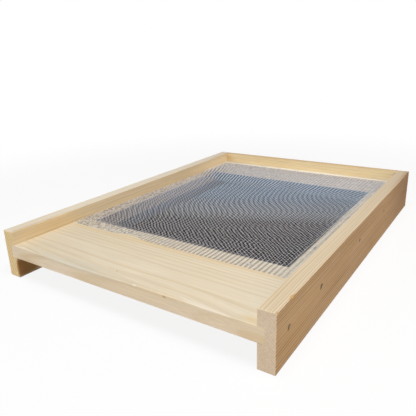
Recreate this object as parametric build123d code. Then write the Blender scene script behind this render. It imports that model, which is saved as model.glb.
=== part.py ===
from build123d import *
import os
from math import cos, radians, sin

# Screened bottom board of a ten-frame beehive. Two grooved side rails carry a floor of four
# boards round an open bay, wire cloth is stapled over the bay, and a bar closes the back.
# Millimetres. X runs across the board, Y from the entrance at -Y to the closed back at +Y, Z is up.
# The origin is the middle of the footprint, at ground level.

# Driving dimensions of the woodwork
WIDTH = 413.0
LENGTH = 572.0
HEIGHT = 68.0
RAIL_THICKNESS = 20.0
FLOOR_THICKNESS = 19.0
ENTRANCE_HEIGHT = 19.0
GROOVE_DEPTH = 8.5
LANDING_DEPTH = 126.0
REAR_BOARD_DEPTH = 106.0
LEFT_LEDGE = 25.5
RIGHT_LEDGE = 24.2
REAR_BAR_DEPTH = 12.0
EASED_EDGE = 0.8

# Natural marks in the timber: the waney edge of the landing board, with each facet's slope in degrees
# and its setback on the top face, and two knocks on the right rail, one of which took off the corner,
# with its reach along X, Y and Z
WANE_START = -192.0
WANE_END = 34.0
WANE_FACETS = ((8.0, 11.0), (24.0, 4.5), (50.0, 1.9))
WANE_REACH = 40.0
CORNER_CHIP = (2.0, 5.0, 3.0)
EDGE_CHIP_FROM_FRONT = 35.0
EDGE_CHIP_RADIUS = 6.0
EDGE_CHIP_DEPTH = 1.6

# Wire cloth: the pitch of the weave, the wires each way, and the coarse net that stands for it
WEAVE_PITCH = 3.175
WIRE_DIAMETER = 0.43
WIRES_ACROSS = 114
WIRES_ALONG = 140
NET_STEP_X = 6
NET_STEP_Y = 10
NET_BAR = 2.5
SCREEN_CENTRE_X = -1.5
SCREEN_CENTRE_FROM_FRONT = 323.0
SCREEN_SKEW = -0.8

# Staples: narrow crown, square wire
STAPLE_CROWN = 6.0
STAPLE_WIRE = 1.1
STAPLE_SUNK = 1.6
SLOT_PLAY = 0.25
STAPLE_LEAN = 18.0
RAIL_STAPLE_LEG = 35.0
BAR_STAPLE_LEG = 32.0
SCREEN_STAPLE_LEG = 16.0

# Staple places: from the front and above the ground on a rail, and from the middle under the bar
RAIL_STAPLE_PLACES = ((28.0, 38.0), (115.0, 41.0), (261.0, 43.0), (391.0, 44.5), (542.0, 35.0))
BAR_STAPLE_PLACES = (-130.0, 0.0, 130.0)

# Screen staple places and the lines that they stand on, in whole weave pitches from the middle
# of the cloth; their legs stand clear of the net bars
FRONT_STAPLES_ACROSS = (-35, -3, 39)
REAR_STAPLES_ACROSS = (-47, -15, 15, 45)
SIDE_STAPLES_ALONG = (-40, 0, 40)
FRONT_STAPLE_LINE = -67
REAR_STAPLE_LINE = 69
SIDE_STAPLE_LINE = 54

# Levels and faces that follow from the driving dimensions
FLOOR_TOP = HEIGHT - ENTRANCE_HEIGHT
FLOOR_UNDERSIDE = FLOOR_TOP - FLOOR_THICKNESS
FRONT = -LENGTH / 2
BACK = LENGTH / 2
RAIL_OUTER = WIDTH / 2
RAIL_INNER = RAIL_OUTER - RAIL_THICKNESS
GROOVE_BOTTOM = RAIL_INNER + GROOVE_DEPTH
BAY_FRONT = FRONT + LANDING_DEPTH
BAY_BACK = BACK - REAR_BOARD_DEPTH
BAY_LEFT = LEFT_LEDGE - RAIL_INNER
BAY_RIGHT = RAIL_INNER - RIGHT_LEDGE
SCREEN_THICKNESS = 2 * WIRE_DIAMETER
SCREEN_WIDTH = WIRES_ACROSS * WEAVE_PITCH
SCREEN_LENGTH = WIRES_ALONG * WEAVE_PITCH
NET_PITCH_X = NET_STEP_X * WEAVE_PITCH
NET_PITCH_Y = NET_STEP_Y * WEAVE_PITCH
SCREEN_LAY = Pos(SCREEN_CENTRE_X, FRONT + SCREEN_CENTRE_FROM_FRONT, FLOOR_TOP) * Rot(0, 0, SCREEN_SKEW)


def timber(x_low, x_high, y_low, y_high, z_low, z_high):
    """A planed board between two corners, with every edge eased."""
    middle = Pos((x_low + x_high) / 2, (y_low + y_high) / 2, (z_low + z_high) / 2)
    board = middle * Box(x_high - x_low, y_high - y_low, z_high - z_low)
    return fillet(board.edges(), EASED_EDGE)


def staple(leg):
    """A staple with its crown along X, the crown's outer face at Z 0 and its legs down -Z."""
    top_down = (Align.CENTER, Align.CENTER, Align.MAX)
    crown = Box(STAPLE_CROWN, STAPLE_WIRE, STAPLE_WIRE, align=top_down)
    leg_bar = Box(STAPLE_WIRE, STAPLE_WIRE, leg, align=top_down)
    reach = (STAPLE_CROWN - STAPLE_WIRE) / 2
    return crown + Pos(-reach, 0, 0) * leg_bar + Pos(reach, 0, 0) * leg_bar


def sunk_slot():
    """The slot that a driven crown leaves between itself and the face of the wood."""
    length = STAPLE_CROWN + 2 * SLOT_PLAY
    width = STAPLE_WIRE + 2 * SLOT_PLAY
    return Box(length, width, STAPLE_SUNK, align=(Align.CENTER, Align.CENTER, Align.MIN))


def rail_staple_planes(side):
    """Where the staples of one rail sit: side is -1 for the left rail and 1 for the right."""
    lean = radians(STAPLE_LEAN)
    crown_way = (0, sin(lean), cos(lean))
    x = side * (RAIL_OUTER - STAPLE_SUNK)
    return [
        Plane((x, FRONT + from_front, height), x_dir=crown_way, z_dir=(side, 0, 0))
        for from_front, height in RAIL_STAPLE_PLACES
    ]


def bar_staple_planes():
    """Where the staples sit that come up through the rear board into the bar."""
    y = BACK - REAR_BAR_DEPTH / 2
    z = FLOOR_UNDERSIDE + STAPLE_SUNK
    return [Plane((x, y, z), x_dir=(1, 0, 0), z_dir=(0, 0, -1)) for x in BAR_STAPLE_PLACES]


def screen_staples(places, turn):
    """Staples over the wire cloth at places in its own weave, with their crowns turned about Z."""
    crown_top = SCREEN_THICKNESS + STAPLE_WIRE
    return [
        SCREEN_LAY
        * Pos(across * WEAVE_PITCH, along * WEAVE_PITCH, crown_top)
        * Rot(0, 0, turn)
        * staple(SCREEN_STAPLE_LEG)
        for across, along in places
    ]


def wire_net():
    """The wire cloth as one flat holed sheet, whose bars each stand for several wires."""
    gap = Rectangle(NET_PITCH_X - NET_BAR, NET_PITCH_Y - NET_BAR)
    columns = WIRES_ACROSS // NET_STEP_X
    rows = WIRES_ALONG // NET_STEP_Y
    gaps = [place * gap for place in GridLocations(NET_PITCH_X, NET_PITCH_Y, columns, rows)]
    sheet = Rectangle(SCREEN_WIDTH, SCREEN_LENGTH) - gaps
    return SCREEN_LAY * extrude(sheet, amount=SCREEN_THICKNESS)


def wane_cutters():
    """Shallow barrels that round off the landing board's front top edge, deepest at mid length."""
    middle = (WANE_START + WANE_END) / 2
    half_length = (WANE_END - WANE_START) / 2
    cutters = []
    for slope, setback in WANE_FACETS:
        angle = radians(slope)
        depth = setback * sin(angle)
        radius = half_length**2 / (2 * depth)
        outward = Vector(0, -sin(angle), cos(angle))
        along_face = Vector(0, cos(angle), sin(angle))
        centre = Vector(middle, FRONT, FLOOR_TOP) + outward * (radius - depth)
        barrel = Cylinder(radius, WANE_REACH)
        cutters.append(Plane(centre, x_dir=(1, 0, 0), z_dir=along_face) * barrel)
    return cutters


def corner_chip_cutter():
    """The block that takes off the right rail's front top outer corner."""
    across, back, down = CORNER_CHIP
    point = (RAIL_OUTER - across / 3, FRONT + back / 3, HEIGHT - down / 3)
    size = 4 * max(CORNER_CHIP)
    block = Box(size, size, size, align=(Align.CENTER, Align.CENTER, Align.MIN))
    return Plane(point, z_dir=(1 / across, -1 / back, 1 / down)) * block


def edge_chip_cutter():
    """The scoop out of the right rail's top outer edge."""
    outward = (EDGE_CHIP_RADIUS - EDGE_CHIP_DEPTH) * cos(radians(45))
    return Pos(RAIL_OUTER + outward, FRONT + EDGE_CHIP_FROM_FRONT, HEIGHT + outward) * Sphere(EDGE_CHIP_RADIUS)


def side_rail(side):
    """One side rail with its floor groove: side is -1 for the left rail and 1 for the right."""
    faces = sorted((side * RAIL_INNER, side * RAIL_OUTER))
    rail = timber(*faces, FRONT, BACK, 0, HEIGHT)
    groove = Box(2 * GROOVE_DEPTH, 2 * LENGTH, FLOOR_THICKNESS)
    return rail - Pos(side * RAIL_INNER, 0, FLOOR_TOP - FLOOR_THICKNESS / 2) * groove


def floor_board(x_low, x_high, y_low, y_high):
    """A board of the floor, at the height of the rails' grooves."""
    return timber(x_low, x_high, y_low, y_high, FLOOR_UNDERSIDE, FLOOR_TOP)


# Staples of each joint
rail_staples = {
    side: [plane * staple(RAIL_STAPLE_LEG) for plane in rail_staple_planes(side)] for side in (-1, 1)
}
rail_slots = {side: [plane * sunk_slot() for plane in rail_staple_planes(side)] for side in (-1, 1)}
bar_staples = [plane * staple(BAR_STAPLE_LEG) for plane in bar_staple_planes()]
bar_slots = [plane * sunk_slot() for plane in bar_staple_planes()]

screen_front = screen_staples([(across, FRONT_STAPLE_LINE) for across in FRONT_STAPLES_ACROSS], 0)
screen_rear = screen_staples([(across, REAR_STAPLE_LINE) for across in REAR_STAPLES_ACROSS], 0)
screen_side = {
    side: screen_staples([(side * SIDE_STAPLE_LINE, along) for along in SIDE_STAPLES_ALONG], 90)
    for side in (-1, 1)
}

# Woodwork, each board cut to take the staples that are driven into it
all_rail_staples = rail_staples[-1] + rail_staples[1]
left_rail = side_rail(-1) - rail_staples[-1] - rail_slots[-1]
right_rail = side_rail(1) - rail_staples[1] - rail_slots[1]
right_rail = right_rail - corner_chip_cutter() - edge_chip_cutter()
landing_board = floor_board(-GROOVE_BOTTOM, GROOVE_BOTTOM, FRONT, BAY_FRONT)
landing_board = landing_board - wane_cutters() - all_rail_staples - screen_front
rear_board = floor_board(-GROOVE_BOTTOM, GROOVE_BOTTOM, BAY_BACK, BACK)
rear_board = rear_board - all_rail_staples - screen_rear - bar_staples - bar_slots
left_cleat = floor_board(-GROOVE_BOTTOM, BAY_LEFT, BAY_FRONT, BAY_BACK)
left_cleat = left_cleat - rail_staples[-1] - screen_side[-1]
right_cleat = floor_board(BAY_RIGHT, GROOVE_BOTTOM, BAY_FRONT, BAY_BACK)
right_cleat = right_cleat - rail_staples[1] - screen_side[1]
rear_bar = timber(-RAIL_INNER, RAIL_INNER, BACK - REAR_BAR_DEPTH, BACK, FLOOR_TOP, HEIGHT) - bar_staples

nodes = {
    "left_side_rail": left_rail,
    "right_side_rail": right_rail,
    "front_landing_board": landing_board,
    "rear_floor_board": rear_board,
    "left_screen_cleat": left_cleat,
    "right_screen_cleat": right_cleat,
    "rear_bar": rear_bar,
    "wire_screen": wire_net(),
    "left_rail_staples": Compound(rail_staples[-1]),
    "right_rail_staples": Compound(rail_staples[1]),
    "rear_bar_staples": Compound(bar_staples),
    "screen_front_staples": Compound(screen_front),
    "screen_rear_staples": Compound(screen_rear),
    "screen_left_staples": Compound(screen_side[-1]),
    "screen_right_staples": Compound(screen_side[1]),
}

os.makedirs("parts", exist_ok=True)
for name, shape in nodes.items():
    export_step(shape, f"parts/{name}.step")
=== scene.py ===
import logging
import math
from collections.abc import Callable
from dataclasses import dataclass
from enum import Enum
from functools import partial
from typing import Any

import bmesh
import bpy
from mathutils import Matrix, Quaternion, Vector


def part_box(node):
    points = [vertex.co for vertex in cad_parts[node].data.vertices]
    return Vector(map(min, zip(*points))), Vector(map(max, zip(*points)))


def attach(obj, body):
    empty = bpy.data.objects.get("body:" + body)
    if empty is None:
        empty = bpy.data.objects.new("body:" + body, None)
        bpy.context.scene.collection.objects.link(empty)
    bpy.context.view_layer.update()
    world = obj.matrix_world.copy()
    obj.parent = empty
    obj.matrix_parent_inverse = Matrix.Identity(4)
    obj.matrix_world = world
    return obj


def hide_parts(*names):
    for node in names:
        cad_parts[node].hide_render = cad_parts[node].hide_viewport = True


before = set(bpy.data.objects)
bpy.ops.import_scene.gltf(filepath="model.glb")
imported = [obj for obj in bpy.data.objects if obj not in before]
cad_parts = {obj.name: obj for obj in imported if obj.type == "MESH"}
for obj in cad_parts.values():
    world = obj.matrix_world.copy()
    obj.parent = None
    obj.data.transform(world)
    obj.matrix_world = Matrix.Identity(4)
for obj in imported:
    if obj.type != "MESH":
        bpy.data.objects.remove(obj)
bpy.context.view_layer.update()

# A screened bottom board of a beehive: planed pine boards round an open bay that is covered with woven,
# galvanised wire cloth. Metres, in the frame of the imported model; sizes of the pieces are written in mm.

MM = 0.001
BODY = "root"
LOG = logging.getLogger("bottom_board")

Point = tuple[float, float, float]
Span = tuple[float, float]
Socket = bpy.types.NodeSocket
Adder = Callable[..., Socket]

# The property that holds a node's mode, where it isn't its operation
MODES = {
    "Mapping": "vector_type",
    "MapRange": "interpolation_type",
    "Mix": "data_type",
    "TexNoise": "noise_dimensions",
    "TexWhiteNoise": "noise_dimensions",
}


def hex_colour(code: str) -> tuple[float, float, float, float]:
    """Turn an sRGB hex colour into linear light.

    Args:
        code: A hash sign and six hex digits.

    Returns:
        Red, green and blue in linear light, and an alpha of 1.
    """
    shares = [int(code[start:start + 2], 16) / 255 for start in (1, 3, 5)]
    red, green, blue = (s / 12.92 if s <= 0.04045 else ((s + 0.055) / 1.055) ** 2.4 for s in shares)
    return red, green, blue, 1.0


def plug(node: bpy.types.Node, inputs: dict[Any, Any]) -> None:
    """Set or link the inputs of a node.

    Args:
        node: The node.
        inputs: A value, an sRGB colour or an output to link, for each named or numbered input.
    """
    for name, value in inputs.items():
        if isinstance(value, Socket):
            node.id_data.links.new(value, node.inputs[name])
        else:
            node.inputs[name].default_value = hex_colour(value) if isinstance(value, str) else value


def add_node(
    tree: bpy.types.NodeTree,
    kind: str,
    *inputs: Any,
    out: str = "",
    stops: tuple[tuple[float, float | str], ...] = (),
    **settings: Any,
) -> Socket:
    """Add a shader node with its settings and links.

    Args:
        tree: The node tree that gets the node.
        kind: The node's type, without the words that all shader nodes start with, and its mode.
        inputs: What the inputs that the mode has get, in order; a dict gives inputs by name.
        out: The name of the output that is wanted, if it isn't the first that the mode has.
        stops: Positions and grey levels or sRGB colours, for a colour ramp, with its two ends first.
        settings: The node's other properties.

    Returns:
        The output that was asked for.
    """
    kind, _, mode = kind.partition(" ")
    node = tree.nodes.new(f"ShaderNode{kind}")
    if mode:
        setattr(node, MODES.get(kind, "operation"), mode)
    for name, value in settings.items():
        setattr(node, name, value)
    for number, (position, tone) in enumerate(stops):
        elements = node.color_ramp.elements
        element = elements[number] if number < len(elements) else elements.new(position)
        element.position = position
        element.color = hex_colour(tone) if isinstance(tone, str) else (tone, tone, tone, 1.0)
    free = [number for number, socket in enumerate(node.inputs) if socket.enabled]
    for number, value in zip(free, inputs):
        plug(node, value if isinstance(value, dict) else {number: value})
    return node.outputs[out] if out else next(socket for socket in node.outputs if socket.enabled)


def new_material(name: str) -> tuple[bpy.types.Material, Adder, bpy.types.Node]:
    """Make an empty material.

    Args:
        name: The material's name.

    Returns:
        The material, the call that adds a node to it, and its surface shader.
    """
    material = bpy.data.materials.new(name)
    material.use_nodes = True
    tree = material.node_tree
    return material, partial(add_node, tree), tree.nodes["Principled BSDF"]


class Grain(Enum):
    """The way that a board's grain runs, as the turn of the log about Z in degrees."""

    ACROSS = 0.0
    LENGTHWISE = 90.0

    def axis(self) -> Point:
        """The unit vector along the grain."""
        turn = math.radians(self.value)
        return math.cos(turn), math.sin(turn), 0.0


@dataclass(frozen=True)
class GrainBend:
    """A place where the grain leaves its straight run, as round a knot.

    Attributes:
        place: The middle of the bend, in mm.
        reach: How far it reaches each way, in mm.
        push: How far the grain is pushed at the middle, in mm.
    """

    place: Point
    reach: Point
    push: Point


@dataclass(frozen=True)
class Mark:
    """A coloured mark in the wood, such as a stain or a knot, or a patch of painted light or shade.

    Attributes:
        colour: The mark's sRGB colour.
        place: Its middle, in mm.
        size: Its half size each way, in mm.
        strength: How much of the wood's colour it hides at its middle.
        soft: The share of its size over which it fades out.
        turn: Degrees by which it is turned about each axis.
    """

    colour: str
    place: Point
    size: Point
    strength: float
    soft: float = 0.6
    turn: Point = (0.0, 0.0, 0.0)


@dataclass(frozen=True)
class SawMarks:
    """The stripes that a saw leaves on the end of a board.

    Attributes:
        across: The way across the stripes, as a unit vector.
        pitch: Their spacing, in mm.
        depth: How much darker they are than the wood between them.
    """

    across: Point
    pitch: float
    depth: float


@dataclass(frozen=True)
class PineFinish:
    """Planed, unfinished pine, sawn from one log.

    Pale springwood with a thin tan line of summerwood at the end of each ring gives straight, low-contrast
    lines along the board and arcs on its ends, under fine fibre streaks and a dull, slightly waxy surface.

    Attributes:
        name: The material's name.
        grain: The way the grain runs.
        pith: A point on the middle of the log, in mm.
        drift: Degrees by which the log turns away from the board in plan.
        climb: Degrees by which the log dips along the board.
        ring: The width of a growth ring, in mm.
        uneven: How far the rings differ in width.
        springwood: The colour of the early part of a ring.
        summerwood: The colour of the late part of a ring.
        heart: The colour of the deeper tones between.
        end: The colour of the sawn ends.
        contrast: How strongly the rings show.
        tone: How strongly the deeper tones show.
        saw: The saw marks on its ends.
        bends: Places where the grain turns aside.
        marks: Stains, knots and bruises.
    """

    name: str
    grain: Grain
    pith: Point
    drift: float = 0.0
    climb: float = 0.0
    ring: float = 4.5
    uneven: float = 2.4
    springwood: str = "#ebdec4"
    summerwood: str = "#cdb083"
    heart: str = "#e2cfa9"
    end: str = "#cfb48a"
    contrast: float = 0.6
    tone: float = 0.4
    saw: SawMarks = SawMarks((1.0, 0.0, 0.0), 2.0, 0.05)
    bends: tuple[GrainBend, ...] = ()
    marks: tuple[Mark, ...] = ()

    # Sizes of the patterns in mm, along the grain and across it; the fibres and flecks are drawn about
    # three times as coarse as in real pine, because finer ones don't show at the photo's distance
    SWAY_SIZE = (260.0, 42.0)
    SWAY_SHIFT = 3.0
    TONE_SIZE = (150.0, 16.0)
    FIBRE_SIZE = (55.0, 1.3)
    FLECK_SIZE = (9.0, 0.8)
    PORE_SIZE = 1.4
    SAW_WANDER = 6.0

    # The levels of each pattern that count, from lowest to highest, and what they are turned into
    TONE_LEVELS = (0.35, 0.7)
    FLECK_LEVELS = (0.66, 0.82, 0.0, 0.35)
    STREAK_LEVELS = (0.25, 0.75, 0.9, 1.05)
    PORE_LEVELS = (0.3, 0.7, 0.86, 1.06)

    # Growth rings: the tone through a year, its two ends first, how strongly a year's summerwood grows, and
    # how fast wide and narrow years follow each other
    RING_TONES = ((0.0, 0.25), (1.0, 0.25), (0.14, 0.0), (0.52, 0.12), (0.82, 0.95), (0.94, 0.75))
    RING_GROWTH = (0.5, 1.0)
    RING_CHANGE = 0.37

    # Sawn ends: how square to the grain a face is there, and how much of the ends' colour it takes
    END_LEVELS = (0.6, 0.95)
    END_SHARE = 0.7

    # Wear and a painted highlight along the edges: how far in they reach, the length of their breaks and how
    # much paler they are
    WEAR_AND_HIGHLIGHT_WIDTH = (0.1, 1.0)
    WEAR_AND_HIGHLIGHT_LENGTH = 14.0
    WEAR_AND_HIGHLIGHT_LEVELS = (0.3, 0.6)
    WEAR_AND_HIGHLIGHT_GAIN = 0.11

    # The planed surface: its roughness and gloss, the height of its fibres in mm, and that of its rings
    ROUGHNESS = (0.52, 0.74)
    GLOSS = 0.3
    RELIEF = 0.25
    RELIEF_STRENGTH = 0.35
    RING_RELIEF = 0.6

    def material(self, low: Vector, high: Vector) -> bpy.types.Material:
        """Make the material.

        Args:
            low: The lowest corner of the board's box, in metres.
            high: The highest corner of the board's box, in metres.

        Returns:
            The finished material.
        """
        material, add, shader = new_material(self.name)
        position = add("TexCoord", out="Object")
        place = add("VectorMath SCALE", position, 1 / MM)
        log = self.log_place(add, place)
        late = self.summerwood_share(add, log)
        fibre = self.stretched_noise(add, log, self.FIBRE_SIZE, 3.0)
        colour = self.wood_colour(add, log, late, fibre)
        colour = self.end_colour(add, place, colour)
        colour = self.worn_and_highlit_colour(add, place, colour, (low + high) / (2 * MM), (high - low) / (2 * MM))
        for mark in self.marks:
            near = self.nearness(add, place, mark.place, mark.size, mark.soft, mark.turn)
            share = add("Math MULTIPLY", near, mark.strength)
            colour = add("Mix RGBA", share, colour, mark.colour)
        rough = add("MapRange", fibre, 0.0, 1.0, *self.ROUGHNESS)
        height = add("Math MULTIPLY_ADD", late, self.RING_RELIEF, fibre)
        relief = {"Strength": self.RELIEF_STRENGTH, "Distance": self.RELIEF * MM, "Height": height}
        bump = add("Bump", relief)
        plug(shader, {"Base Color": colour, "Roughness": rough, "Normal": bump})
        plug(shader, {"Specular IOR Level": self.GLOSS})
        return material

    def stretched_noise(self, add: Adder, log: Socket, size: Span, detail: float, out: str = "") -> Socket:
        """Add noise that is drawn out along the grain.

        Args:
            add: Adds a node to the material.
            log: The place in the log, in mm.
            size: The noise's size along the grain and across it, in mm.
            detail: The noise's octaves.
            out: The name of the output that is wanted, if it isn't the first.

        Returns:
            The noise, from 0 to 1.
        """
        along, across = size
        scaled = add("VectorMath MULTIPLY", log, (1 / along, 1 / across, 1 / across))
        return add("TexNoise", scaled, 1.0, detail, out=out)

    def log_place(self, add: Adder, place: Socket) -> Socket:
        """Turn a place on the board into a place in the log, whose pith lies along X.

        Args:
            add: Adds a node to the material.
            place: The place on the board, in mm.

        Returns:
            The place in the log, in mm, with the grain's bends and sway.
        """
        for bend in self.bends:
            near = self.nearness(add, place, bend.place, bend.reach)
            push = add("VectorMath SCALE", bend.push, near)
            place = add("VectorMath SUBTRACT", place, push)
        turn = (0.0, math.radians(self.climb), math.radians(self.grain.value + self.drift))
        log = add("Mapping TEXTURE", place, self.pith, turn)
        sway = self.stretched_noise(add, log, self.SWAY_SIZE, 2.0, out="Color")
        shift = (0.0, 2 * self.SWAY_SHIFT, 2 * self.SWAY_SHIFT)
        return add("VectorMath MULTIPLY_ADD", sway, shift, log)

    def nearness(
        self,
        add: Adder,
        place: Socket,
        middle: Point,
        size: Point,
        soft: float = 1.0,
        turn: Point = (0.0, 0.0, 0.0),
    ) -> Socket:
        """Add a soft blob.

        Args:
            add: Adds a node to the material.
            place: The place on the board, in mm.
            middle: The blob's middle, in mm.
            size: The blob's half size each way, in mm.
            soft: The share of its size over which it fades out.
            turn: Degrees by which it is turned about each axis.

        Returns:
            1 at the middle of the blob and 0 outside it.
        """
        turned = tuple(math.radians(angle) for angle in turn)
        local = add("Mapping TEXTURE", place, middle, turned, size)
        far = add("VectorMath LENGTH", local)
        return add("MapRange SMOOTHSTEP", far, 1.0 - soft, 1.0, 1.0, 0.0)

    def summerwood_share(self, add: Adder, log: Socket) -> Socket:
        """Add the growth rings.

        Args:
            add: Adds a node to the material.
            log: The place in the log, in mm.

        Returns:
            How far the wood at that place is summerwood, from 0 to 1.
        """
        flat = add("VectorMath MULTIPLY", log, (0.0, 1.0, 1.0))
        radius = add("VectorMath LENGTH", flat)
        age = add("Math MULTIPLY", radius, 1 / self.ring)
        uneven = add("TexNoise 1D", age, self.RING_CHANGE, 1.0)
        age = add("Math MULTIPLY_ADD", uneven, self.uneven, age)
        phase = add("Math FRACT", age)
        year = add("Math FLOOR", age)
        line = add("ValToRGB", phase, stops=self.RING_TONES)
        growth = add("TexWhiteNoise 1D", year)
        growth = add("MapRange", growth, 0.0, 1.0, *self.RING_GROWTH)
        return add("Math MULTIPLY", line, growth)

    def wood_colour(self, add: Adder, log: Socket, late: Socket, fibre: Socket) -> Socket:
        """Add the colour of planed wood.

        Args:
            add: Adds a node to the material.
            log: The place in the log, in mm.
            late: How far the wood is summerwood.
            fibre: The fibre streaks.

        Returns:
            The colour.
        """
        tone = self.stretched_noise(add, log, self.TONE_SIZE, 2.0)
        tone = add("MapRange", tone, *self.TONE_LEVELS, 0.0, self.tone)
        colour = add("Mix RGBA", tone, self.springwood, self.heart)
        fleck = self.stretched_noise(add, log, self.FLECK_SIZE, 1.0)
        fleck = add("MapRange", fleck, *self.FLECK_LEVELS)
        rings = add("Math MULTIPLY", late, self.contrast)
        for share in (rings, fleck):
            colour = add("Mix RGBA", share, colour, self.summerwood)
        streak = add("MapRange", fibre, *self.STREAK_LEVELS)
        return add("VectorMath SCALE", colour, streak)

    def end_colour(self, add: Adder, place: Socket, colour: Socket) -> Socket:
        """Darken the sawn ends, and give them open pores and the stripes of the saw.

        Args:
            add: Adds a node to the material.
            place: The place on the board, in mm.
            colour: The colour of planed wood.

        Returns:
            The colour with its ends.
        """
        normal = add("NewGeometry", out="True Normal")
        facing = add("VectorMath DOT_PRODUCT", normal, self.grain.axis())
        facing = add("Math ABSOLUTE", facing)
        end = add("MapRange", facing, *self.END_LEVELS)
        share = add("Math MULTIPLY", end, self.END_SHARE)
        colour = add("Mix RGBA", share, colour, self.end)
        pores = add("TexNoise", place, 1 / self.PORE_SIZE, 2.0)
        pores = add("MapRange", pores, *self.PORE_LEVELS)
        across = tuple(math.tau / self.saw.pitch * part for part in self.saw.across)
        stripe = add("VectorMath DOT_PRODUCT", place, across)
        wander = add("TexNoise", place, 1 / self.SAW_WANDER)
        stripe = add("Math MULTIPLY_ADD", wander, math.tau, stripe)
        stripe = add("Math SINE", stripe)
        stripe = add("MapRange", stripe, -1.0, 1.0, 1.0 - self.saw.depth, 1.0)
        sawn = colour
        for level in (pores, stripe):
            sawn = add("VectorMath SCALE", sawn, level)
        return add("Mix RGBA", end, colour, sawn)

    def worn_and_highlit_colour(self, add: Adder, place: Socket, colour: Socket, middle: Vector, half: Vector) -> Socket:
        """Make the board paler along its edges, where handling has rubbed it and a highlight is painted on
        the eased edge.

        Args:
            add: Adds a node to the material.
            place: The place on the board, in mm.
            colour: The colour of the unworn wood.
            middle: The middle of the board's box, in mm.
            half: Half the size of the board's box, in mm.

        Returns:
            The colour with its worn and highlit edges.
        """
        inward = add("VectorMath SUBTRACT", place, middle)
        inward = add("VectorMath ABSOLUTE", inward)
        inward = add("VectorMath SUBTRACT", half, inward)
        # The second nearest side of the box is as far away as its nearest edge
        x, y, z = add("SeparateXYZ", inward).node.outputs
        nearest = add("Math MINIMUM", x, y)
        farthest = add("Math MAXIMUM", x, y)
        between = add("Math MINIMUM", farthest, z)
        edge = add("Math MAXIMUM", nearest, between)
        breaks = add("TexNoise", place, 1 / self.WEAR_AND_HIGHLIGHT_LENGTH)
        width = add("MapRange", breaks, *self.WEAR_AND_HIGHLIGHT_LEVELS, *self.WEAR_AND_HIGHLIGHT_WIDTH)
        # The paler edge is partly wear and partly a painted highlight
        gain = add("MapRange", edge, 0.0, width, 1.0 + self.WEAR_AND_HIGHLIGHT_GAIN, 1.0)
        return add("VectorMath SCALE", colour, gain)


@dataclass(frozen=True)
class Band:
    """One set of bands in the painted sheen of a cloth of wire.

    Attributes:
        reach: Two places along the board, in mm.
        shares: How strongly the bands show at these places.
        sides: The parts of that at the left and the right edge of the bay.
        way: The way across straight bands, as a unit vector.
        hub: The place from which strokes fan out; with neither, they run along every second wire.
        pitch: Their spacing, in mm.
        swing: How far straight bands swing from side to side, in mm.
    """

    reach: Span
    shares: Span
    sides: Span = (1.0, 1.0)
    way: Point | None = None
    hub: Point | None = None
    pitch: float = 1.0
    swing: float = 0.0

    def wave(self, add: Adder, place: Socket, swing: Socket, strokes: Socket) -> Socket:
        """Add the rise and fall of the bands.

        Args:
            add: Adds a node to the material.
            place: The place on the cloth, in mm.
            swing: How far to the side the bands have swung there, from -1 to 1.
            strokes: The rise and fall along every second wire.

        Returns:
            The wave, from -1 to 1.
        """
        step = math.tau / self.pitch
        if self.way:
            steps = tuple(step * part for part in self.way)
            phase = add("VectorMath DOT_PRODUCT", place, steps)
            phase = add("Math MULTIPLY_ADD", swing, step * self.swing, phase)
        elif self.hub:
            ray = add("VectorMath SUBTRACT", place, self.hub)
            aside, ahead, _ = add("SeparateXYZ", ray).node.outputs
            angle = add("Math ARCTAN2", aside, ahead)
            phase = add("Math MULTIPLY", angle, step * (self.reach[1] - self.hub[1]))
        else:
            return strokes
        return add("Math SINE", phase)


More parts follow.
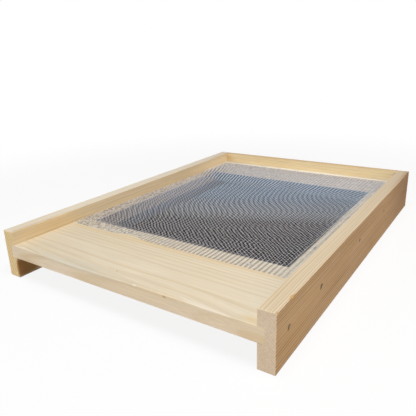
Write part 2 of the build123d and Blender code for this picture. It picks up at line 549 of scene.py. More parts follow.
@dataclass(frozen=True)
class Sheen:
    """Painted sheen: the wavy bands of painted light and shade in which a cloth of wire shows brighter and
    duller.

    Bare wires are too fine to show one by one at the camera's distance, so painted strokes of light and shade
    are drawn along every second wire, and the slack cloth's shimmer is painted as waves in the wires' tone.

    Attributes:
        slack: The mesh attribute that tells how slack the cloth lies, which sets how strongly the painted
            bands show.
        strand: The mesh attribute that counts the lengthwise wires across the cloth.
        sides: The left and right edges of the bay, in mm.
        ends: The front and rear edges of the bay, in mm.
        flat: How strongly the painted strokes on every second wire show where the cloth lies flat, at the
            front and the rear.
        fray: How far the strokes along the wires stray from an even run, as a share of the wires' spacing.
        fray_size: The length of such a stray, in mm.
        specks: The size of the specks that take the strokes' place towards the left, across and along, in mm.
        specks_end: How far to the right there are specks, in mm.
        fade: Where the strokes fade towards the right edge of the cloth, in mm.
        faded: The share of the strokes that is left there.
        level: How dull the slack cloth is between its bands.
        bands: The bands of the slack cloth.
        swing_way: The way along which the bands swing, as a unit vector.
        swing_rate: How fast they swing at the middle of the board, in radians for each mm.
        swing_slowing: How much slower they swing for each mm further on.
        stray: How far the bands stray from an even run, in mm.
        stray_size: The length of such a bend, in mm.
        strength: How much of the coat's tone follows the bands.
    """

    slack: str = "slack"
    strand: str = "strand"
    sides: Span = (-160.0, 160.0)
    ends: Span = (-160.0, 180.0)
    flat: Span = (0.8, 0.3)
    fray: float = 0.45
    fray_size: float = 8.0
    specks: Span = (2.0, 5.0)
    specks_end: float = 60.0
    fade: Span = (150.0, 168.0)
    faded: float = 0.5
    level: float = 0.57
    bands: tuple[Band, ...] = (
        Band((-160.0, 100.0), (0.5, 0.56), (1.0, 0.65), way=(0.95, 0.31, 0.0), pitch=8.0, swing=11.0),
        Band((-160.0, 180.0), (0.9, 0.6), (1.0, 1.3), way=(0.67, 0.74, 0.0), pitch=4.35),
        Band((-160.0, -70.0), (0.6, 0.0), (1.0, 0.5)),
        Band((118.0, 150.0), (0.0, 2.6), (1.0, 0.5), hub=(33.0, -316.0, 0.0), pitch=6.0),
    )
    swing_way: Point = (-0.6, 0.8, 0.0)
    swing_rate: float = 0.0403
    swing_slowing: float = 0.000124
    stray: float = 3.5
    stray_size: float = 30.0
    strength: float = 0.9

    # The levels of the strokes and of the specks' noise that show, from dull to bright
    STROKE_LEVELS = (-0.4, 1.0)
    SPECK_LEVELS = (0.42, 0.64)

    def laid_over(self, add: Adder, position: Socket, share: Socket) -> Socket:
        """Lay the painted sheen over the mottle of the wires' coat.

        Args:
            add: Adds a node to the material.
            position: The place on the cloth, in metres.
            share: How dull the mottled coat is.

        Returns:
            How dull the coat is with its sheen.
        """
        place = add("VectorMath SCALE", position, 1 / MM)
        strokes = self.strokes(add, place)
        flat = self.flat_share(add, place, strokes, share)
        shimmer = self.shimmer(add, place, strokes)
        slack = add("Attribute", out="Fac", attribute_name=self.slack)
        blend = add("Math MULTIPLY", slack, self.strength)
        return add("Mix", blend, flat, shimmer)

    def strokes(self, add: Adder, place: Socket) -> Socket:
        """Add the painted strokes of light and shade along the wires.

        Args:
            add: Adds a node to the material.
            place: The place on the cloth, in mm.

        Returns:
            A wave from -1 to 1 whose crests lie on every second wire.
        """
        strand = add("Attribute", out="Fac", attribute_name=self.strand)
        fray = add("TexNoise", place, 1 / self.fray_size, 1.0)
        fray = add("MapRange", fray, 0.0, 1.0, -self.fray, self.fray)
        strand = add("Math ADD", strand, fray)
        turn = add("Math MULTIPLY", strand, math.pi)
        return add("Math SINE", turn)

    def flat_share(self, add: Adder, place: Socket, strokes: Socket, share: Socket) -> Socket:
        """Lay painted strokes and specks of light and shade over the coat where the cloth lies flat on the
        boards.

        Args:
            add: Adds a node to the material.
            place: The place on the cloth, in mm.
            strokes: The strokes along the wires.
            share: How dull the mottled coat is.

        Returns:
            How dull the coat is there.
        """
        across, along, _ = add("SeparateXYZ", place).node.outputs
        tone = add("MapRange", strokes, *self.STROKE_LEVELS)
        wide, long = self.specks
        speck = add("VectorMath MULTIPLY", place, (1 / wide, 1 / long, 1.0))
        speck = add("TexNoise", speck, 1.0, 0.0)
        speck = add("MapRange", speck, *self.SPECK_LEVELS)
        aside = add("MapRange", across, self.sides[0], self.specks_end, 1.0, 0.0)
        tone = add("Mix", aside, tone, speck)
        shown = add("MapRange", along, *self.ends, *self.flat)
        faded = add("MapRange", across, *self.fade, 1.0, self.faded)
        shown = add("Math MULTIPLY", shown, faded)
        return add("Mix", shown, share, tone)

    def shimmer(self, add: Adder, place: Socket, strokes: Socket) -> Socket:
        """Add the painted bands of sheen of the slack cloth.

        Args:
            add: Adds a node to the material.
            place: The place on the cloth, in mm.
            strokes: The strokes along the wires.

        Returns:
            How dull the coat is in the bands.
        """
        across, along, _ = add("SeparateXYZ", place).node.outputs
        stray = add("TexNoise", place, 1 / self.stray_size, 1.0, out="Color")
        reach = (2 * self.stray, 2 * self.stray, 0.0)
        place = add("VectorMath MULTIPLY_ADD", stray, reach, place)
        depth = add("VectorMath DOT_PRODUCT", place, self.swing_way)
        rate = add("Math MULTIPLY_ADD", depth, -self.swing_slowing, self.swing_rate)
        turn = add("Math MULTIPLY", depth, rate)
        swing = add("Math SINE", turn)
        level: Socket | float = self.level
        for band in self.bands:
            wave = band.wave(add, place, swing, strokes)
            first, last = band.shares
            height = add("MapRange", along, *band.reach, first / 2, last / 2)
            part = add("MapRange", across, *self.sides, *band.sides)
            weight = add("Math MULTIPLY", height, part)
            if band.hub:
                # A fan of strokes takes the place of the other bands
                level = add("Mix", weight, level, self.level)
            level = add("Math MULTIPLY_ADD", wave, weight, level)
        return level


@dataclass(frozen=True)
class MetalFinish:
    """Drawn steel wire with a dull metal coat.

    A metal surface whose coat is mottled in tone and gloss, which gives soft, uneven glints along each wire.

    Attributes:
        name: The material's name.
        bright: The colour of the clean coat, and of the light in a painted sheen.
        dull: The colour of its weathered patches, and of the shade in a painted sheen.
        patch: The size of the patches, in mm, drawn coarse enough to show.
        rough: The roughness of the clean and of the weathered coat.
        metallic: How far the surface is bare metal.
        weathered: How far its patches are weathered.
        sheen: The painted sheen on a cloth of such wire.
    """

    name: str
    bright: str
    dull: str
    patch: float
    rough: Span
    metallic: float
    weathered: float = 1.0
    sheen: Sheen | None = None

    # The levels of the noise between which the coat turns from clean to weathered
    PATCH_LEVELS = (0.35, 0.65)

    def material(self) -> bpy.types.Material:
        """Make the material.

        Returns:
            The finished material.
        """
        material, add, shader = new_material(self.name)
        position = add("TexCoord", out="Object")
        mottle = add("TexNoise", position, 1 / (self.patch * MM), 3.0)
        share = add("MapRange", mottle, *self.PATCH_LEVELS, 0.0, self.weathered)
        if self.sheen:
            share = self.sheen.laid_over(add, position, share)
        colour = add("Mix RGBA", share, self.bright, self.dull)
        rough = add("MapRange", share, 0.0, 1.0, *self.rough)
        plug(shader, {"Base Color": colour, "Roughness": rough, "Metallic": self.metallic})
        return material


def dress(node: str, material: bpy.types.Material) -> None:
    """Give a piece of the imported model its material.

    Args:
        node: The piece's name.
        material: The material for all its slots.
    """
    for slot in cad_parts[node].material_slots:
        slot.material = material
    LOG.info("%s wears %s", node, material.name)


@dataclass
class Woodwork:
    """The pine boards of the floor, each sawn from its own log.

    Attributes:
        inner: How far the rails' inner faces are from the middle, in mm.
        outer: How far their outer faces are, in mm.
        floor: The height of the floor's top, in mm.
        front: Where the boards' front faces are, in mm.
        staple_places: Where the staples are sunk in the rails, from the middle and above the ground, in mm,
        and the size of their marks there as a share of the largest.
        staple_lean: Degrees by which the staples lean back.
        slot_size: Half the size of the largest dark slot of painted shade, in mm.
        spur_size: Half the size of its spur, in mm.
        spur_shift: How far the spur is from the slot's middle, in mm.
    """

    inner: float = 186.5
    outer: float = 206.5
    floor: float = 49.0
    front: float = -286.0
    staple_places: tuple[Point, ...] = (
        (-258.0, 38.0, 1.0), (-171.0, 41.0, 1.0), (-25.0, 43.0, 0.62), (105.0, 44.5, 0.55), (256.0, 35.0, 0.8)
    )
    staple_lean: float = 24.0
    slot_size: Point = (2.6, 3.0, 4.4)
    spur_size: Point = (2.6, 3.0, 1.8)
    spur_shift: Span = (3.2, 0.8)

    def finishes(self) -> dict[str, PineFinish]:
        """Choose the log that each board comes from.

        Returns:
            The pine of each board.
        """
        inner, outer, floor, front = self.inner, self.outer, self.floor, self.front
        return {
            "left_side_rail": PineFinish(
                "pine_left_rail", Grain.LENGTHWISE, pith=(-200.0, 0.0, -150.0), drift=0.4,
                ring=3.0, uneven=1.2, contrast=0.5,
                springwood="#ecdfc2", summerwood="#cfae78", heart="#e2cda0", end="#fadf9f",
                saw=SawMarks((0.773, 0.0, -0.634), 3.3, 0.16),
                bends=(GrainBend((-inner, 137.0, 50.0), (30.0, 60.0, 22.0), (0.0, 0.0, 9.0)),),
                marks=self.staple_shade_marks(-outer) + (
                    Mark("#f7edd8", (-197.0, 0.0, 70.0), (16.0, 480.0, 5.0), 0.75, soft=0.4),
                    # Painted light: the rear of the inner face above the floor is drawn paler
                    Mark("#fdeecb", (-inner, 210.0, 58.0), (4.0, 140.0, 16.0), 0.9, soft=1.0),
                    # Painted sky light and shade on the low inner face below the screen: pale blue, paler at
                    # the rear, dark at the front
                    Mark("#aac4e8", (-inner, 160.0, 4.0), (2.0, 440.0, 44.0), 0.9, soft=0.5),
                    Mark("#c0daff", (-inner, 230.0, 4.0), (2.0, 150.0, 44.0), 0.9, soft=1.0),
                    Mark("#404c5c", (-inner, -90.0, 4.0), (2.0, 130.0, 44.0), 0.7, soft=1.0),
                    # Painted shade on the inner face below the landing board
                    Mark("#a4722c", (-inner, -275.0, 14.0), (4.0, 40.0, 18.0), 0.85, soft=0.5),
                    # Painted warm light bounced from the landing board onto the inner face, and painted shade
                    # along their joint
                    Mark("#d8b676", (-inner, -225.0, 58.0), (4.0, 90.0, 16.0), 0.35, soft=1.0),
                    Mark("#a88e52", (-inner, -215.0, 48.0), (3.0, 110.0, 6.0), 0.55, soft=1.0),
                ),
            ),
            "right_side_rail": PineFinish(
                "pine_right_rail", Grain.LENGTHWISE, pith=(60.0, 0.0, -80.0), drift=-0.3,
                ring=1.9, uneven=1.0, contrast=1.0, tone=0.6,
                springwood="#f9ebce", summerwood="#a47d49", heart="#e2c999", end="#e6d7bf",
                saw=SawMarks((0.643, 0.0, 0.766), 1.8, 0.08),
                marks=self.staple_shade_marks(outer) + (
                    Mark("#d0a65c", (outer, -251.0, 68.0), (3.2, 8.0, 3.4), 0.8, soft=0.4),
                    Mark("#dccaa8", (197.0, 0.0, 70.0), (16.0, 560.0, 5.0), 0.68, soft=0.4),
                    Mark("#d2b484", (outer, front, 68.0), (4.0, 7.0, 5.0), 0.3),
                    Mark("#9c7a4a", (outer, -115.0, 20.0), (3.0, 60.0, 1.2), 0.4),
                    # Painted shade: the outer face grows darker towards the rear
                    Mark("#987342", (outer, 300.0, 40.0), (12.0, 210.0, 70.0), 0.75, soft=1.0),
                    # Painted light: the front of the outer face is paler
                    Mark("#f2dcac", (outer, -240.0, 34.0), (3.0, 110.0, 50.0), 0.3, soft=1.0),
                ),
            ),
            "front_landing_board": PineFinish(
                "pine_landing_board", Grain.ACROSS, pith=(0.0, -239.0, 34.0), drift=-1.9,
                ring=6.1, uneven=0.5, contrast=0.52,
                springwood="#eee2c8", summerwood="#d6bd8c", heart="#e6d4b0", end="#d9c49c",
                bends=(
                    GrainBend((186.0, -290.0, 45.0), (115.0, 42.0, 60.0), (0.0, -12.0, 0.0)),
                    GrainBend((0.0, -292.0, 45.0), (500.0, 48.0, 60.0), (0.0, -13.0, 0.0)),
                ),
                marks=(
                    Mark("#b0afa6", (-70.0, front, 48.0), (125.0, 20.0, 6.0), 0.35, soft=0.9),
                    Mark("#e6c68c", (0.0, -188.0, floor), (300.0, 9.0, 5.0), 0.35),
                    # Painted shade, warmed by bounce light, on the top beside the left rail
                    Mark("#e2bb7a", (-186.0, -225.0, floor), (10.0, 70.0, 4.0), 0.2, soft=1.0),
                    Mark("#dfc07e", (178.0, -279.0, floor), (22.0, 9.0, 4.0), 0.5, soft=1.0),
                    Mark(
                        "#f2e8d6", (126.0, -284.0, floor), (40.0, 4.5, 3.0), 0.55, soft=0.5,
                        turn=(0.0, 0.0, -4.0),
                    ),
                    # Painted highlight on the front arris
                    Mark("#f6efdc", (33.0, -285.5, 48.5), (4.0, 1.6, 1.6), 0.8),
                    Mark("#b99a5c", (75.6, front, 46.6), (3.5, 2.0, 1.6), 0.7),
                    Mark("#8a7a5c", (-8.3, -270.3, floor), (1.6, 0.9, 2.0), 0.7),
                ),
            ),
            "rear_floor_board": PineFinish(
                "pine_rear_board", Grain.ACROSS, pith=(0.0, 300.0, -90.0), drift=0.8, ring=4.2,
                springwood="#e0d9d0", summerwood="#c4b298", heart="#d6cbba",
                marks=(
                    # Painted light: the front face below the screen is pale blue, for the sky light in its
                    # shade
                    Mark("#a0c6e2", (0.0, 180.0, 38.0), (500.0, 1.4, 40.0), 0.9, soft=0.3),
                    # Painted light: the bare strip in front of the rear bar is drawn near white
                    Mark("#fffbf0", (0.0, 268.0, floor), (240.0, 9.0, 3.0), 1.0, soft=0.5),
                ),
            ),
            "left_screen_cleat": PineFinish(
                "pine_left_cleat", Grain.LENGTHWISE, pith=(-240.0, 0.0, -60.0), drift=0.5, ring=3.6,
                # Painted shade: the springwood is greyer than on the right cleat, for the shade beside the
                # left rail
                springwood="#d2c4b0",
                marks=(
                    # Painted light and shade on the inner face below the screen: grey-lilac, darker at the
                    # front, near white at the rear
                    Mark("#d8d6da", (-161.0, 10.0, 38.0), (1.4, 500.0, 40.0), 0.9, soft=0.3),
                    Mark("#a29e9a", (-161.0, -170.0, 38.0), (1.4, 160.0, 60.0), 0.6, soft=1.0),
                    Mark("#fafaff", (-161.0, 190.0, 38.0), (1.4, 240.0, 60.0), 0.9, soft=1.0),
                    # Painted shade on the bare strip beside the rail
                    Mark("#a8916e", (-inner, 60.0, floor), (6.0, 300.0, 4.0), 0.5, soft=0.8),
                ),
            ),
            "right_screen_cleat": PineFinish(
                "pine_right_cleat", Grain.LENGTHWISE, pith=(120.0, 0.0, -70.0), drift=-0.4, ring=3.9,
                springwood="#ebddc0",
            ),
            "rear_bar": PineFinish(
                "pine_rear_bar", Grain.ACROSS, pith=(0.0, 262.0, 0.0), drift=0.5, climb=0.6,
                ring=3.2, uneven=1.2, contrast=0.4,
                springwood="#e9d6ac", summerwood="#c99e64", heart="#e0c38c",
                marks=(
                    # Painted shade in the corner beside the left rail
                    Mark("#c89c50", (-inner, 274.0, 58.0), (26.0, 8.0, 14.0), 0.5, soft=1.0),
                    # Painted light: the top face is warmed against the blue light from above
                    Mark("#dcb470", (0.0, 280.0, 69.0), (400.0, 12.0, 4.0), 0.35, soft=0.5),
                ),
            ),
        }

    def staple_shade_marks(self, face: float) -> tuple[Mark, ...]:
        """Paint shade into the slots where the staples of a rail went in, with a dark spur beside each.

        Args:
            face: Where the rail's outer face is, in mm.

        Returns:
            A slot of painted shade with a short dark spur for each staple.
        """
        marks = []
        for along, height, size_share in self.staple_places:
            back, up = self.spur_shift
            spur = (face, along + back * size_share, height + up * size_share)
            marks.append(Mark("#5c4026", spur, self.staple_mark_size(self.spur_size, size_share), 0.85))
            # The dark slot is painted shade in the staple's recess
            slot = self.staple_mark_size(self.slot_size, size_share)
            lean = (-self.staple_lean, 0.0, 0.0)
            marks.append(Mark("#3a2412", (face, along, height), slot, 0.95, soft=0.4, turn=lean))
        return tuple(marks)

    def staple_mark_size(self, size: Point, share: float) -> Point:
        """A staple mark's size for its share of the largest, which is just as deep."""
        return size[0], size[1] * share, size[2] * share

    def build(self) -> None:
        """Dress each board in its own pine."""
        for node, finish in self.finishes().items():
            dress(node, finish.material(*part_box(node)))


@dataclass
class Fasteners:
    """The staples that hold the boards and the wire cloth.

    Attributes:
        sunk: The staples that are driven in below the wood or stained by it.
        proud: The staples that lie bright over the wire cloth.
        dull: The finish of the first.
        bright: The finish of the second.
    """

    sunk: tuple[str, ...] = ("left_rail_staples", "right_rail_staples", "rear_bar_staples")
    proud: tuple[str, ...] = (
        "screen_front_staples", "screen_rear_staples", "screen_left_staples", "screen_right_staples"
    )
    dull: MetalFinish = MetalFinish(
        "weathered_staple_steel", "#7d6c5c", "#4f4136", patch=1.5, rough=(0.4, 0.6), metallic=0.6
    )
    bright: MetalFinish = MetalFinish(
        "galvanised_staple_steel", "#ecebe8", "#c6c4c0", patch=1.5, rough=(0.35, 0.55), metallic=0.15
    )

    def build(self) -> None:
        """Dress the staples in their two steels."""
        for nodes, finish in ((self.sunk, self.dull), (self.proud, self.bright)):
            material = finish.material()
            for node in nodes:
                dress(node, material)


@dataclass
class WireScreen:
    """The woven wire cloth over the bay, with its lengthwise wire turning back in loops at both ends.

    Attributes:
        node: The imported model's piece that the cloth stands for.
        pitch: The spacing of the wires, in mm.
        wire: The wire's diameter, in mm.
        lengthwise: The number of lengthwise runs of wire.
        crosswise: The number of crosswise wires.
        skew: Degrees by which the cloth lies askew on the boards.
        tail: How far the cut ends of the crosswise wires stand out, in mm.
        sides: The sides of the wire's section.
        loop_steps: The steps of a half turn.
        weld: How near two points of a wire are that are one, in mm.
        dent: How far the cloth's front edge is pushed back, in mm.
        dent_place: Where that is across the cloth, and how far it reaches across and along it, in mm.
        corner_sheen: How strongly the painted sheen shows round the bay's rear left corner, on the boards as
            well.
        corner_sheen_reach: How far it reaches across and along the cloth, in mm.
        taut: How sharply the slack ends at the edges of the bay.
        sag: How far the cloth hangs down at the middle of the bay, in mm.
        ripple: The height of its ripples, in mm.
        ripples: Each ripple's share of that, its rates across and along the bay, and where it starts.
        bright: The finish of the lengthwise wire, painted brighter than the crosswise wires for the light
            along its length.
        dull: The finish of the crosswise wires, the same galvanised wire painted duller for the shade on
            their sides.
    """

    node: str = "wire_screen"
    pitch: float = 3.175
    wire: float = 0.43
    lengthwise: int = 114
    crosswise: int = 140
    skew: float = -0.8
    tail: float = 1.3
    sides: int = 6
    loop_steps: int = 5
    weld: float = 0.0086
    dent: float = 7.0
    dent_place: Point = (-66.0, 19.0, 45.0)
    corner_sheen: float = 0.42
    corner_sheen_reach: Span = (30.0, 45.0)
    taut: int = 50
    sag: float = 0.8
    ripple: float = 0.45
    ripples: tuple[tuple[float, float, float, float], ...] = (
        (1.0, 4.1, 2.3, 0.6), (0.7, 2.2, -5.2, 0.0), (0.6, 15.0, 7.0, 0.0), (0.5, 6.0, -17.0, 1.1)
    )
    # Lit and shaded copies of one galvanised wire: painted light on the lengthwise wire, painted shade on the
    # crosswise wires
    bright: MetalFinish = MetalFinish(
        "galvanised_wire_painted_lit", "#ffffff", "#55585c", patch=6.0, rough=(0.45, 0.6), metallic=0.2,
        weathered=0.2, sheen=Sheen(),
    )
    dull: MetalFinish = MetalFinish(
        "galvanised_wire_painted_shaded", "#f6f7fa", "#34363a", patch=6.0, rough=(0.5, 0.65), metallic=0.15,
        weathered=0.45, sheen=Sheen(),
    )

    def build(self) -> list[bpy.types.Object]:
        """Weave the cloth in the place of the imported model's net.

        Returns:
            The lengthwise and the crosswise wires.
        """
        runs = {
            "screen_lengthwise_wire": (self.lengthwise_wire(), self.bright),
            "screen_crosswise_wires": (self.crosswise_wires(), self.dull),
        }
        pieces = []
        for name, (mesh, finish) in runs.items():
            self.close(mesh)
            self.lay(mesh, finish.sheen)
            pieces.append(self.finish_piece(name, mesh, finish.material()))
        return pieces

    @property
    def first(self) -> float:
        """Where the leftmost lengthwise run is, from the middle of the cloth, in mm."""
        return -(self.lengthwise - 1) / 2 * self.pitch

    @property
    def near(self) -> float:
        """Where the foremost crosswise wire is, from the middle of the cloth, in mm."""
        return -(self.crosswise - 1) / 2 * self.pitch

    def crimp(self, run: int, crossing: int) -> float:
        """The height of a lengthwise run where it meets a crosswise wire, in mm."""
        return self.wire / 2 * (1 if (run + crossing) % 2 == 0 else -1)

    def start_ring(self, mesh: bmesh.types.BMesh, place: Point, axis: str) -> list[Any]:
        """Start a wire with a ring of its section.

        Args:
            mesh: The mesh that gets the ring.
            place: The middle of the ring, in mm.
            axis: The axis that the ring is turned about, so that the wire runs square to it.

        Returns:
            The ring's vertices and edges.
        """
        verts = bmesh.ops.create_circle(mesh, segments=self.sides, radius=self.wire / 2)["verts"]
        turn = Matrix.Rotation(math.pi / 2, 3, axis)
        bmesh.ops.rotate(mesh, verts=verts, cent=(0.0, 0.0, 0.0), matrix=turn)
        bmesh.ops.translate(mesh, verts=verts, vec=place)
        return verts + list({edge for vert in verts for edge in vert.link_edges})

    def grow(self, mesh: bmesh.types.BMesh, ring: list[Any], step: Point) -> list[Any]:
        """Draw the wire on by one straight step, with a crisp crimp where it starts.

        Args:
            mesh: The wire's mesh.
            ring: The vertices and edges of the wire's open end.
            step: The way to the new end, in mm.

        Returns:
            The vertices and edges of the new end.
        """
        edges = [part for part in ring if isinstance(part, bmesh.types.BMEdge)]
        grown = bmesh.ops.extrude_edge_only(mesh, edges=edges)["geom"]
        for edge in edges:
            edge.smooth = False
        verts = [part for part in grown if isinstance(part, bmesh.types.BMVert)]
        bmesh.ops.translate(mesh, verts=verts, vec=step)
        return verts + [
            part
            for part in grown
            if isinstance(part, bmesh.types.BMEdge) and all(vert in verts for vert in part.verts)
        ]

    def turn_back(
        self, mesh: bmesh.types.BMesh, ring: list[Any], middle: Point, way: int, drop: float
    ) -> list[Any]:
        """Bend the wire through half a turn.

        Args:
            mesh: The wire's mesh.
            ring: The vertices and edges of the wire's open end.
            middle: The middle of the bend, in mm.
            way: 1 for a turn to the left seen from above, and -1 to the right.
            drop: How far the wire goes down on the way, in mm.

        Returns:
            The vertices and edges of the new end.
        """
        return bmesh.ops.spin(
            mesh, geom=ring, cent=middle, axis=(0.0, 0.0, 1.0), angle=way * math.pi,
            dvec=(0.0, 0.0, -drop / self.loop_steps), steps=self.loop_steps,
        )["geom_last"]

    def repeat(self, mesh: bmesh.types.BMesh, parts: list[Any], count: int, step: Point) -> None:
        """Lay copies of a unit beside it.

        Args:
            mesh: The mesh that holds the unit.
            parts: The unit's vertices, edges and faces.
            count: The number of units in all.
            step: The way from one unit to the next, in mm.
        """
        for number in range(1, count):
            copied = bmesh.ops.duplicate(mesh, geom=parts)["geom"]
            verts = [part for part in copied if isinstance(part, bmesh.types.BMVert)]
            bmesh.ops.translate(mesh, verts=verts, vec=Vector(step) * number)

    def lengthwise_wire(self) -> bmesh.types.BMesh:
        """Bend the one long wire of the lengthwise runs.

        Returns:
            The wire's mesh, in mm, with the middle of the cloth at the origin.
        """
        mesh = bmesh.new()
        pitch, first, near = self.pitch, self.first, self.near
        last = self.crosswise - 1
        ring = self.start_ring(mesh, (first, -near, self.crimp(0, last)), "X")
        for crossing in range(last, 0, -1):
            rise = self.crimp(0, crossing - 1) - self.crimp(0, crossing)
            ring = self.grow(mesh, ring, (0.0, -pitch, rise))
        ring = self.turn_back(mesh, ring, (first + pitch / 2, near, 0.0), 1, 2 * self.crimp(0, 0))
        for crossing in range(last):
            rise = self.crimp(1, crossing + 1) - self.crimp(1, crossing)
            ring = self.grow(mesh, ring, (0.0, pitch, rise))
        hairpin = mesh.verts[:] + mesh.edges[:] + mesh.faces[:]
        pairs = self.lengthwise // 2
        self.repeat(mesh, hairpin, pairs, (2 * pitch, 0.0, 0.0))
        made = set(mesh.verts)
        ring = self.start_ring(mesh, (first + pitch, -near, self.crimp(1, last)), "X")
        self.turn_back(mesh, ring, (first + 1.5 * pitch, -near, 0.0), -1, 2 * self.crimp(1, last))
        verts = [vert for vert in mesh.verts if vert not in made]
        edges = list({edge for vert in verts for edge in vert.link_edges})
        faces = list({face for vert in verts for face in vert.link_faces})
        self.repeat(mesh, verts + edges + faces, pairs - 1, (2 * pitch, 0.0, 0.0))
        return mesh

    def crosswise_wires(self) -> bmesh.types.BMesh:
        """Lay the straight wires that cross the lengthwise runs.

        Returns:
            The wires' mesh, in mm, with the middle of the cloth at the origin.
        """
        mesh = bmesh.new()
        for wire in range(2):
            start = (self.first - self.tail, self.near + wire * self.pitch, -self.crimp(0, wire))
            ring = self.start_ring(mesh, start, "Y")
            ring = self.grow(mesh, ring, (self.tail, 0.0, 0.0))
            for run in range(1, self.lengthwise):
                rise = self.crimp(run - 1, wire) - self.crimp(run, wire)
                ring = self.grow(mesh, ring, (self.pitch, 0.0, rise))
            self.grow(mesh, ring, (self.tail, 0.0, 0.0))
        pair = mesh.verts[:] + mesh.edges[:] + mesh.faces[:]
        self.repeat(mesh, pair, self.crosswise // 2, (0.0, 2 * self.pitch, 0.0))
        return mesh

    def close(self, mesh: bmesh.types.BMesh) -> None:
        """Join the lengths of wire in a mesh and close their ends.

        Args:
            mesh: The wires' mesh, in mm.
        """
        bmesh.ops.remove_doubles(mesh, verts=mesh.verts, dist=self.weld)
        open_ends = [edge for edge in mesh.edges if edge.is_boundary]
        bmesh.ops.holes_fill(mesh, edges=open_ends, sides=self.sides)
        bmesh.ops.recalc_face_normals(mesh, faces=mesh.faces)
        for face in mesh.faces:
            face.smooth = True

    def lay(self, mesh: bmesh.types.BMesh, sheen: Sheen) -> None:
        """Dent a mesh of wires, lay it on the boards and let it hang over the bay.

        Args:
            mesh: The wires' mesh, in mm, which ends up in metres and in place.
            sheen: The sheen that reads the mesh's attributes.
        """
        middle, width, length = self.dent_place
        near = self.near
        strand = mesh.verts.layers.float.new(sheen.strand)
        for vert in mesh.verts:
            vert[strand] = vert.co.x / self.pitch
            depth = max(0.0, 1 - (vert.co.y - near) / length)
            vert.co.y += self.dent * depth**2 * math.exp(-(((vert.co.x - middle) / width) ** 2))
        low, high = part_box(self.node)
        turn = Matrix.Rotation(math.radians(self.skew), 3, "Z")
        bmesh.ops.scale(mesh, verts=mesh.verts, vec=(MM, MM, MM))
        bmesh.ops.rotate(mesh, verts=mesh.verts, cent=(0.0, 0.0, 0.0), matrix=turn)
        bmesh.ops.translate(mesh, verts=mesh.verts, vec=(low + high) / 2)
        left, right, front, back = self.bay()
        wide, long = (reach * MM for reach in self.corner_sheen_reach)
        slack = mesh.verts.layers.float.new(sheen.slack)
        for vert in mesh.verts:
            across = (2 * vert.co.x - left - right) / (right - left)
            along = (2 * vert.co.y - front - back) / (back - front)
            corner = Vector(((vert.co.x - left) / wide, (vert.co.y - back) / long))
            # Painted sheen round the bay's rear left corner, also where the cloth lies on the boards
            vert[slack] = self.corner_sheen * math.exp(-corner.length_squared)
            if abs(across) < 1 and abs(along) < 1:
                vert.co.z += self.hang(across, along) * MM
                vert[slack] = max(vert[slack], 1 - max(abs(across), abs(along)) ** self.taut)

    def bay(self) -> tuple[float, float, float, float]:
        """The left, right, front and back edges of the open bay, in metres."""
        return (
            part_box("left_screen_cleat")[1].x,
            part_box("right_screen_cleat")[0].x,
            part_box("front_landing_board")[1].y,
            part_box("rear_floor_board")[0].y,
        )

    def hang(self, across: float, along: float) -> float:
        """How high the cloth lies over the bay.

        Args:
            across: The place across the bay, from -1 at its left edge to 1.
            along: The place along the bay, from -1 at its front edge to 1.

        Returns:
            The height above the cloth's edges, in mm.
        """
        free = (1 - across**2) * (1 - along**2)
        waves = sum(
            share * math.sin(rate_across * across + rate_along * along + start)
            for share, rate_across, rate_along, start in self.ripples
        )
        return free * (self.ripple * waves - self.sag)

    def finish_piece(
        self, name: str, mesh: bmesh.types.BMesh, material: bpy.types.Material
    ) -> bpy.types.Object:
        """Make a piece of the finished mesh and dress it.

        Args:
            name: The piece's name.
            mesh: The piece's mesh, in place.
            material: Its material.

        Returns:
            The piece.
        """
        data = bpy.data.meshes.new(name)
        mesh.to_mesh(data)
        mesh.free()
        data.materials.append(material)
        piece = bpy.data.objects.new(name, data)
        bpy.context.scene.collection.objects.link(piece)
        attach(piece, BODY)
        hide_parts(self.node)
        LOG.info("%s has %d faces", name, len(data.polygons))
        return piece


@dataclass(frozen=True)
class Lamp:
    """A soft box of the studio.

    Attributes:
        name: The lamp's name.
        place: Where it hangs, in metres.
        size: Its width and height, in metres.
        share: How much of full light it gives a surface at the middle of the board that faces it.
        colour: Its sRGB colour.
    """

    name: str
    place: Point
    size: Span
    share: float
    colour: str = "#ffffff"

    def build(self, aim: Vector) -> None:
        """Hang the lamp.

        Args:
            aim: The point that it shines at.
        """
        way = aim - Vector(self.place)
        data = bpy.data.lights.new(self.name, "AREA")
        data.shape = "RECTANGLE"
        data.size, data.size_y = self.size
        data.energy = self.share * math.pi**2 * way.length_squared
        data.color = hex_colour(self.colour)[:3]
        lamp = bpy.data.objects.new(self.name, data)
        lamp.location = self.place
        lamp.rotation_mode = "QUATERNION"
        lamp.rotation_quaternion = way.to_track_quat("-Z", "Y")
        bpy.context.scene.collection.objects.link(lamp)


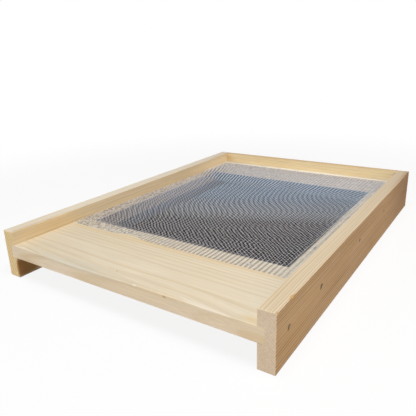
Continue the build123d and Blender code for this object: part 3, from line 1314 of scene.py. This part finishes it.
@dataclass
class Studio:
    """The plain pale floor, the soft light and the camera.

    Attributes:
        eye: Where the camera stands, in metres.
        aim: The point at the middle of its picture, in metres.
        roll: Degrees by which it leans.
        lens: Its focal length on a sensor of full width, in mm.
        sensor: The width of its sensor, in mm.
        nearest: The nearest that it sees, in metres.
        floor_half: Half the floor's side, in metres.
        shade: The middle and half size of the ground below the board that is painted in shade, in metres.
        sky_lit: The middle and half size of the ground that gets light through the screen, in metres.
        edge: The share of such a rectangle at which its soft edge starts.
        tones: The tones of the painted shade, from the front right to the rear left, its two ends first.
        tones_way: The way along which they change.
        tones_reach: How far they reach along it.
        shadow_reach: How far from the middle the object's shadow starts to fade, and ends, in metres.
        plain: How much of the floor shows its own colour at these places, whatever falls on it: plain white,
            and the painted shade below the board.
        casts: The colours of the light that the floor throws back, round the sky-lit ground and on it.
        ceiling: The heights between which the white walls turn into the dim ceiling.
        room: The colours of the walls and of the ceiling.
        glow: The colour of the light that the room gives the object.
        lamps: The soft boxes.
        lamp_aim: The point that they shine at, in metres.
    """

    eye: Point = (0.35665, -0.61085, 0.29126)
    aim: Point = (-0.07186, 0.01938, 0.030)
    roll: float = -1.817
    lens: float = 39.303
    sensor: float = 36.0
    nearest: float = 0.01
    floor_half: float = 6.0
    shade: tuple[Point, Point] = ((0.0, 0.022, 0.0), (0.2, 0.263, 1.0))
    sky_lit: tuple[Point, Point] = ((0.0, 0.085, 0.0), (0.2, 0.2, 1.0))
    edge: float = 0.93
    tones: tuple[tuple[float, str], ...] = (
        (0.0, "#100703"), (1.0, "#64839c"), (0.28, "#282320"), (0.5, "#6e7478"), (0.75, "#607180")
    )
    tones_way: Point = (-4.0, 10.0, 0.0)
    tones_reach: float = 2.5
    shadow_reach: Span = (0.45, 1.1)
    plain: Span = (0.87, 1.0)
    casts: tuple[str, str] = ("#96714c", "#a8bad0")
    ceiling: Span = (0.2, 0.45)
    room: tuple[str, str] = ("#ffffff", "#3a3a3a")
    glow: str = "#55481a"
    lamps: tuple[Lamp, ...] = (
        Lamp("key_box", (0.22, -0.35, 1.3), (0.6, 0.6), 0.77, "#f2f6ff"),
        Lamp("right_front_box", (0.9, -2.2, 0.45), (0.8, 0.8), 0.31),
        Lamp("left_front_box", (-0.9, -2.2, 0.45), (0.8, 0.8), 0.26, "#e9efff"),
        Lamp("sky_box", (-0.3, 1.8, 0.9), (1.6, 0.8), 0.15, "#d4e0ff"),
        Lamp("warm_box", (1.6, 0.5, 0.9), (0.8, 0.8), 0.15, "#ffc070"),
    )
    lamp_aim: Point = (0.0, 0.0, 0.04)

    def build(self) -> None:
        """Set up the studio."""
        bpy.context.scene.view_settings.view_transform = "Standard"
        self.lay_floor()
        self.light_world()
        for lamp in self.lamps:
            lamp.build(Vector(self.lamp_aim))
        self.place_camera()

    def seen_directly(self, add: Adder) -> Socket:
        """Tell what the camera, metal and glass see from what lights the object.

        Args:
            add: Adds a node to the floor or the world.

        Returns:
            1 for rays from the camera and for reflected and transmitted rays, 0 for others.
        """
        rays = add("LightPath").node.outputs
        either = add("Math MAXIMUM", rays["Is Camera Ray"], rays["Is Glossy Ray"])
        return add("Math MAXIMUM", either, rays["Is Transmission Ray"])

    def lay_floor(self) -> None:
        """Lay the white floor, which keeps the object's shadow and is painted with dark shade below the
        screen.
        """
        mesh = bmesh.new()
        bmesh.ops.create_grid(mesh, x_segments=1, y_segments=1, size=self.floor_half)
        data = bpy.data.meshes.new("floor")
        mesh.to_mesh(data)
        mesh.free()
        floor = bpy.data.objects.new("floor", data)
        bpy.context.scene.collection.objects.link(floor)
        data.materials.append(self.floor_material())

    def inside(self, add: Adder, place: Socket, middle: Point, half: Point) -> Socket:
        """Mark out a rectangle on the floor.

        Args:
            add: Adds a node to the floor.
            place: The place on the floor, in metres.
            middle: The rectangle's middle, in metres.
            half: Half its size each way, in metres.

        Returns:
            1 inside the rectangle and 0 outside it, with a soft edge.
        """
        far = add("Mapping TEXTURE", place, middle, {"Scale": half})
        far = add("VectorMath ABSOLUTE", far)
        across, along, _ = add("SeparateXYZ", far).node.outputs
        far = add("Math MAXIMUM", across, along)
        return add("MapRange SMOOTHSTEP", far, self.edge, 1.0, 1.0, 0.0)

    def floor_material(self) -> bpy.types.Material:
        """Paint the floor matt white, for an even, pale ground, with blurred dark tones of painted shade
        below the screen.

        Returns:
            The finished material.
        """
        material, add, shader = new_material("matt_white_floor")
        nodes = material.node_tree.nodes
        nodes.remove(shader)
        place = add("TexCoord", out="Object")
        shaded = self.inside(add, place, *self.shade)
        depth = add("VectorMath DOT_PRODUCT", place, self.tones_way)
        depth = add("MapRange", depth, 0.0, self.tones_reach)
        # Painted shade below the board, dark at the front and blue-grey further back
        ground = add("ValToRGB", depth, stops=self.tones)
        colour = add("Mix RGBA", shaded, "#ffffff", ground)
        lit = add("BsdfDiffuse", colour)
        # The painted shade glows in the same share as the white floor
        plain = add("Emission", colour, 1.0)
        far = add("VectorMath LENGTH", place)
        share = add("MapRange SMOOTHSTEP", far, *self.shadow_reach, *self.plain)
        seen = add("MixShader", share, lit, plain)
        sky_lit = self.inside(add, place, *self.sky_lit)
        around, below = self.casts
        cast = add("Mix RGBA", sky_lit, around, below)
        bounce = add("BsdfDiffuse", cast)
        surface = add("MixShader", self.seen_directly(add), bounce, seen)
        plug(nodes["Material Output"], {"Surface": surface})
        return material

    def light_world(self) -> None:
        """Make the world white walls and a dim ceiling to look at, and a dim, warm light on the object."""
        world = bpy.data.worlds.new("studio_walls")
        world.use_nodes = True
        add = partial(add_node, world.node_tree)
        height = add("SeparateXYZ", add("TexCoord", out="Generated"), out="Z")
        ceiling = add("MapRange", height, *self.ceiling)
        walls, top = self.room
        room = add("Mix RGBA", ceiling, walls, top)
        seen = self.seen_directly(add)
        light = add("Mix RGBA", seen, self.glow, room)
        plug(world.node_tree.nodes["Background"], {"Color": light})
        bpy.context.scene.world = world

    def place_camera(self) -> None:
        """Stand the camera where the photo was taken from."""
        data = bpy.data.cameras.new("camera")
        data.lens = self.lens
        data.sensor_width = self.sensor
        data.clip_start = self.nearest
        camera = bpy.data.objects.new("camera", data)
        camera.location = self.eye
        look = (Vector(self.aim) - Vector(self.eye)).to_track_quat("-Z", "Y")
        camera.rotation_mode = "QUATERNION"
        camera.rotation_quaternion = look @ Quaternion((0.0, 0.0, 1.0), math.radians(self.roll))
        bpy.context.scene.collection.objects.link(camera)
        bpy.context.scene.camera = camera


def main() -> None:
    """Build and dress the pieces in order, then light them."""
    logging.basicConfig(level=logging.INFO)
    Woodwork().build()
    Fasteners().build()
    WireScreen().build()
    Studio().build()


if __name__ == "__main__":
    main()
